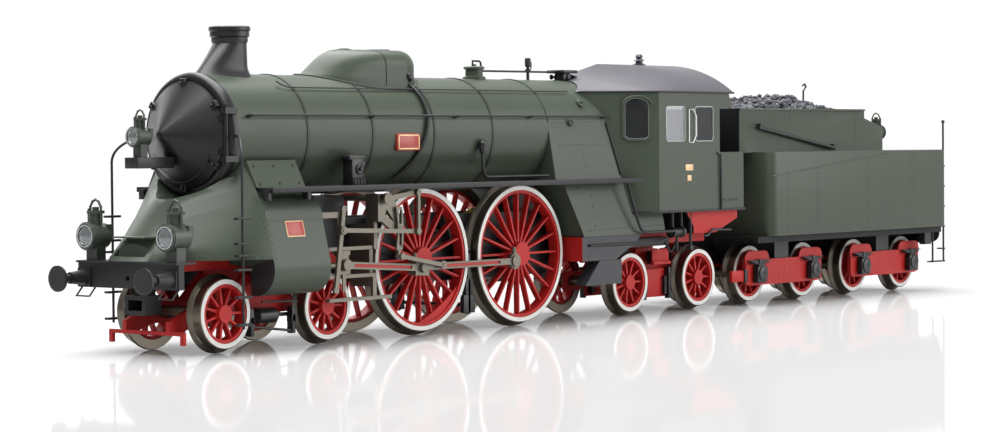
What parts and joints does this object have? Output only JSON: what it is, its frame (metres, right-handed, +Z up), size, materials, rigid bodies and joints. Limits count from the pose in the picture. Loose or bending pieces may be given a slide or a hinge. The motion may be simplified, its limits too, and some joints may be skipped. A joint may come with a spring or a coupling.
{
  "type": "steam locomotive model with tender",
  "caption": "Scale model of a streamlined express tender steam locomotive with spoked wheels, outside valve gear, bogies, sprung buffers and a coal tender.",
  "frame": {"origin": "centre of the length over buffers, on the centre line, at the plane of the wheel flange bottoms", "axes": "+X towards the rear of the tender, +Y towards the engine's right-hand side, +Z up"},
  "size_m": [0.2434, 0.034, 0.0535],
  "materials": {
    "green_paint": "satin",
    "black_paint": "satin",
    "grey_paint": "satin",
    "red_paint": "satin",
    "wheel_metal": "satin",
    "nickel": "satin",
    "motor_metal": "satin",
    "brass": "satin",
    "clear": "clear",
    "coal": "rough"
  },
  "bodies": {
    "engine": {"main_frame": "red_paint", "buffer_beam": "grey_paint", "smokebox": "black_paint", "boiler_barrel": "green_paint", "chimney": "black_paint", "dome_casing": "green_paint", "firebox": "green_paint", "ashpan": "grey_paint", "cab_shell": "green_paint", "cab_roof": "grey_paint", "cab_glazing": "clear", "running_boards": "grey_paint", "front_skirt": "green_paint", "cylinder_casings": "green_paint", "motion_brackets": "nickel", "rails_and_pipes": "black_paint", "boiler_fittings": "black_paint", "headlamps": "green_paint", "motor": "motor_metal"},
    "front_coupler_body": {"front_coupler": "black_paint"},
    "smokebox_door_body": {"smokebox_door": "black_paint"},
    "front_buffer_left_body": {"front_buffer_left": "grey_paint"},
    "front_buffer_right_body": {"front_buffer_right": "grey_paint"},
    "worm_shaft_body": {"worm_shaft": "brass"},
    "reversing_shaft_body": {"reversing_shaft": "nickel"},
    "lead_bogie_frame_body": {"lead_bogie_frame": "red_paint"},
    "lead_wheelset_front_body": {"lead_wheelset_front": "wheel_metal"},
    "lead_wheelset_rear_body": {"lead_wheelset_rear": "wheel_metal"},
    "driver_wheelset_front_body": {"driver_wheelset_front": "wheel_metal"},
    "driver_wheelset_rear_body": {"driver_wheelset_rear": "wheel_metal"},
    "coupling_rod_left_body": {"coupling_rod_left": "nickel"},
    "coupling_rod_right_body": {"coupling_rod_right": "nickel"},
    "connecting_rod_left_body": {"connecting_rod_left": "nickel"},
    "connecting_rod_right_body": {"connecting_rod_right": "nickel"},
    "eccentric_rod_left_body": {"eccentric_rod_left": "nickel"},
    "eccentric_rod_right_body": {"eccentric_rod_right": "nickel"},
    "crosshead_left_body": {"crosshead_left": "nickel"},
    "crosshead_right_body": {"crosshead_right": "nickel"},
    "combination_lever_left_body": {"combination_lever_left": "nickel"},
    "combination_lever_right_body": {"combination_lever_right": "nickel"},
    "expansion_link_left_body": {"expansion_link_left": "nickel"},
    "expansion_link_right_body": {"expansion_link_right": "nickel"},
    "radius_rod_left_body": {"radius_rod_left": "nickel"},
    "radius_rod_right_body": {"radius_rod_right": "nickel"},
    "trailing_bogie_frame_body": {"trailing_bogie_frame": "red_paint"},
    "trailing_wheelset_front_body": {"trailing_wheelset_front": "wheel_metal"},
    "trailing_wheelset_rear_body": {"trailing_wheelset_rear": "wheel_metal"},
    "tender_bogie_front_body": {"tender_bogie_front": "red_paint"},
    "tender_bogie_rear_body": {"tender_bogie_rear": "red_paint"},
    "tender_wheelset_1_body": {"tender_wheelset_1": "wheel_metal"},
    "tender_wheelset_2_body": {"tender_wheelset_2": "wheel_metal"},
    "tender_wheelset_3_body": {"tender_wheelset_3": "wheel_metal"},
    "tender_wheelset_4_body": {"tender_wheelset_4": "wheel_metal"},
    "rear_buffer_left_body": {"rear_buffer_left": "grey_paint"},
    "rear_buffer_right_body": {"rear_buffer_right": "grey_paint"},
    "tender": {"tender_frame": "black_paint", "tender_tank": "green_paint", "coal_load": "coal", "tender_fittings": "black_paint"}
  },
  "joints": [
    {"name": "driver_front_spin", "type": "hinge", "parent": "engine", "child": "driver_wheelset_front_body", "pos_m": [-0.05465, 0, 0.01335], "axis": [0, 1, 0], "continuous": true},
    {"name": "driver_rear_spin", "type": "hinge", "parent": "engine", "child": "driver_wheelset_rear_body", "pos_m": [-0.02705, 0, 0.01335], "axis": [0, 1, 0], "continuous": true},
    {"name": "worm_spin", "type": "hinge", "parent": "engine", "child": "worm_shaft_body", "pos_m": [-0.02705, 0, 0.02047], "axis": [1, 0, 0], "continuous": true},
    {"name": "coupling_left_pin", "type": "hinge", "parent": "driver_wheelset_front_body", "child": "coupling_rod_left_body", "pos_m": [-0.05813, -0.0109, 0.01215], "axis": [0, 1, 0], "continuous": true},
    {"name": "connecting_left_pin", "type": "hinge", "parent": "driver_wheelset_front_body", "child": "connecting_rod_left_body", "pos_m": [-0.05813, -0.0124, 0.01215], "axis": [0, 1, 0], "continuous": true},
    {"name": "eccentric_left_pin", "type": "hinge", "parent": "driver_wheelset_front_body", "child": "eccentric_rod_left_body", "pos_m": [-0.05424, -0.0142, 0.01248], "axis": [0, 1, 0], "continuous": true},
    {"name": "crosshead_left_slide", "type": "slide", "parent": "engine", "child": "crosshead_left_body", "axis": [1, 0, 0], "range_m": [-0.00024, 0.00712]},
    {"name": "lever_left_pin", "type": "hinge", "parent": "engine", "child": "combination_lever_left_body", "pos_m": [-0.07935, -0.0132, 0.0193], "axis": [0, 1, 0], "range_deg": [-44.81, 5.36]},
    {"name": "link_left_trunnion", "type": "hinge", "parent": "engine", "child": "expansion_link_left_body", "pos_m": [-0.06455, -0.0132, 0.0192], "axis": [0, 1, 0], "range_deg": [-10, 10]},
    {"name": "radius_left_pin", "type": "hinge", "parent": "engine", "child": "radius_rod_left_body", "pos_m": [-0.07935, -0.0137, 0.0193], "axis": [0, 1, 0], "range_deg": [-3.5, 7.5]},
    {"name": "coupling_right_pin", "type": "hinge", "parent": "driver_wheelset_front_body", "child": "coupling_rod_right_body", "pos_m": [-0.05585, 0.0109, 0.01683], "axis": [0, 1, 0], "continuous": true},
    {"name": "connecting_right_pin", "type": "hinge", "parent": "driver_wheelset_front_body", "child": "connecting_rod_right_body", "pos_m": [-0.05585, 0.0124, 0.01683], "axis": [0, 1, 0], "continuous": true},
    {"name": "eccentric_right_pin", "type": "hinge", "parent": "driver_wheelset_front_body", "child": "eccentric_rod_right_body", "pos_m": [-0.05552, 0.0142, 0.01294], "axis": [0, 1, 0], "continuous": true},
    {"name": "crosshead_right_slide", "type": "slide", "parent": "engine", "child": "crosshead_right_body", "axis": [1, 0, 0], "range_m": [-0.0028, 0.00456]},
    {"name": "lever_right_pin", "type": "hinge", "parent": "engine", "child": "combination_lever_right_body", "pos_m": [-0.07935, 0.0132, 0.0193], "axis": [0, 1, 0], "range_deg": [-30.13, 20.04]},
    {"name": "link_right_trunnion", "type": "hinge", "parent": "engine", "child": "expansion_link_right_body", "pos_m": [-0.06455, 0.0132, 0.0192], "axis": [0, 1, 0], "range_deg": [-10, 10]},
    {"name": "radius_right_pin", "type": "hinge", "parent": "engine", "child": "radius_rod_right_body", "pos_m": [-0.07935, 0.0137, 0.0193], "axis": [0, 1, 0], "range_deg": [-3.5, 7.5]},
    {"name": "reversing_turn", "type": "hinge", "parent": "engine", "child": "reversing_shaft_body", "pos_m": [-0.06815, 0, 0.0244], "axis": [0, 1, 0], "range_deg": [-1, 10]},
    {"name": "lead_bogie_swing", "type": "hinge", "parent": "engine", "child": "lead_bogie_frame_body", "pos_m": [-0.09125, 0, 0.0065], "axis": [0, 0, 1], "range_deg": [-3, 3]},
    {"name": "lead_front_spin", "type": "hinge", "parent": "lead_bogie_frame_body", "child": "lead_wheelset_front_body", "pos_m": [-0.10335, 0, 0.0065], "axis": [0, 1, 0], "continuous": true},
    {"name": "lead_rear_spin", "type": "hinge", "parent": "lead_bogie_frame_body", "child": "lead_wheelset_rear_body", "pos_m": [-0.07915, 0, 0.0065], "axis": [0, 1, 0], "continuous": true},
    {"name": "trailing_bogie_swing", "type": "hinge", "parent": "engine", "child": "trailing_bogie_frame_body", "pos_m": [0.01825, 0, 0.0065], "axis": [0, 0, 1], "range_deg": [-3, 3]},
    {"name": "trailing_front_spin", "type": "hinge", "parent": "trailing_bogie_frame_body", "child": "trailing_wheelset_front_body", "pos_m": [0.00675, 0, 0.0065], "axis": [0, 1, 0], "continuous": true},
    {"name": "trailing_rear_spin", "type": "hinge", "parent": "trailing_bogie_frame_body", "child": "trailing_wheelset_rear_body", "pos_m": [0.02975, 0, 0.0065], "axis": [0, 1, 0], "continuous": true},
    {"name": "tender_swing", "type": "hinge", "parent": "engine", "child": "tender", "pos_m": [0.03415, 0, 0.0116], "axis": [0, 0, 1], "range_deg": [-5, 5]},
    {"name": "tender_bogie_front_swing", "type": "hinge", "parent": "tender", "child": "tender_bogie_front_body", "pos_m": [0.05795, 0, 0.0065], "axis": [0, 0, 1], "range_deg": [-4, 4]},
    {"name": "tender_axle_1_spin", "type": "hinge", "parent": "tender_bogie_front_body", "child": "tender_wheelset_1_body", "pos_m": [0.04785, 0, 0.0065], "axis": [0, 1, 0], "continuous": true},
    {"name": "tender_axle_2_spin", "type": "hinge", "parent": "tender_bogie_front_body", "child": "tender_wheelset_2_body", "pos_m": [0.06805, 0, 0.0065], "axis": [0, 1, 0], "continuous": true},
    {"name": "tender_bogie_rear_swing", "type": "hinge", "parent": "tender", "child": "tender_bogie_rear_body", "pos_m": [0.09835, 0, 0.0065], "axis": [0, 0, 1], "range_deg": [-4, 4]},
    {"name": "tender_axle_3_spin", "type": "hinge", "parent": "tender_bogie_rear_body", "child": "tender_wheelset_3_body", "pos_m": [0.08825, 0, 0.0065], "axis": [0, 1, 0], "continuous": true},
    {"name": "tender_axle_4_spin", "type": "hinge", "parent": "tender_bogie_rear_body", "child": "tender_wheelset_4_body", "pos_m": [0.10845, 0, 0.0065], "axis": [0, 1, 0], "continuous": true},
    {"name": "smokebox_door_hinge", "type": "hinge", "parent": "engine", "child": "smokebox_door_body", "pos_m": [-0.1026, -0.0095, 0.0354], "axis": [0, 0, 1], "range_deg": [0, 90]},
    {"name": "front_coupler_swing", "type": "hinge", "parent": "engine", "child": "front_coupler_body", "pos_m": [-0.10795, 0, 0.0127], "axis": [0, 0, 1], "range_deg": [-8, 8]},
    {"name": "front_buffer_left_push", "type": "slide", "parent": "engine", "child": "front_buffer_left_body", "axis": [1, 0, 0], "range_m": [0, 0.0012], "stiffness_N_per_m": 200},
    {"name": "rear_buffer_left_push", "type": "slide", "parent": "tender", "child": "rear_buffer_left_body", "axis": [-1, 0, 0], "range_m": [0, 0.0012], "stiffness_N_per_m": 200},
    {"name": "front_buffer_right_push", "type": "slide", "parent": "engine", "child": "front_buffer_right_body", "axis": [1, 0, 0], "range_m": [0, 0.0012], "stiffness_N_per_m": 200},
    {"name": "rear_buffer_right_push", "type": "slide", "parent": "tender", "child": "rear_buffer_right_body", "axis": [-1, 0, 0], "range_m": [0, 0.0012], "stiffness_N_per_m": 200}
  ],
  "couplings": [
    {"joint": "driver_rear_spin", "follows": "driver_front_spin", "ratio": 1},
    {"joint": "worm_spin", "follows": "driver_front_spin", "ratio": 20},
    {"joint": "coupling_left_pin", "follows": "driver_front_spin", "ratio": -1},
    {"joint": "connecting_left_pin", "follows": "driver_front_spin", "ratio": -1},
    {"joint": "eccentric_left_pin", "follows": "driver_front_spin", "ratio": -1},
    {"joint": "lever_left_pin", "follows": "crosshead_left_slide", "rad_per_m": -100},
    {"joint": "radius_left_pin", "follows": "reversing_turn", "ratio": 0.4086},
    {"joint": "coupling_right_pin", "follows": "driver_front_spin", "ratio": -1},
    {"joint": "connecting_right_pin", "follows": "driver_front_spin", "ratio": -1},
    {"joint": "eccentric_right_pin", "follows": "driver_front_spin", "ratio": -1},
    {"joint": "lever_right_pin", "follows": "crosshead_right_slide", "rad_per_m": -100},
    {"joint": "radius_right_pin", "follows": "reversing_turn", "ratio": 0.4086}
  ]
}
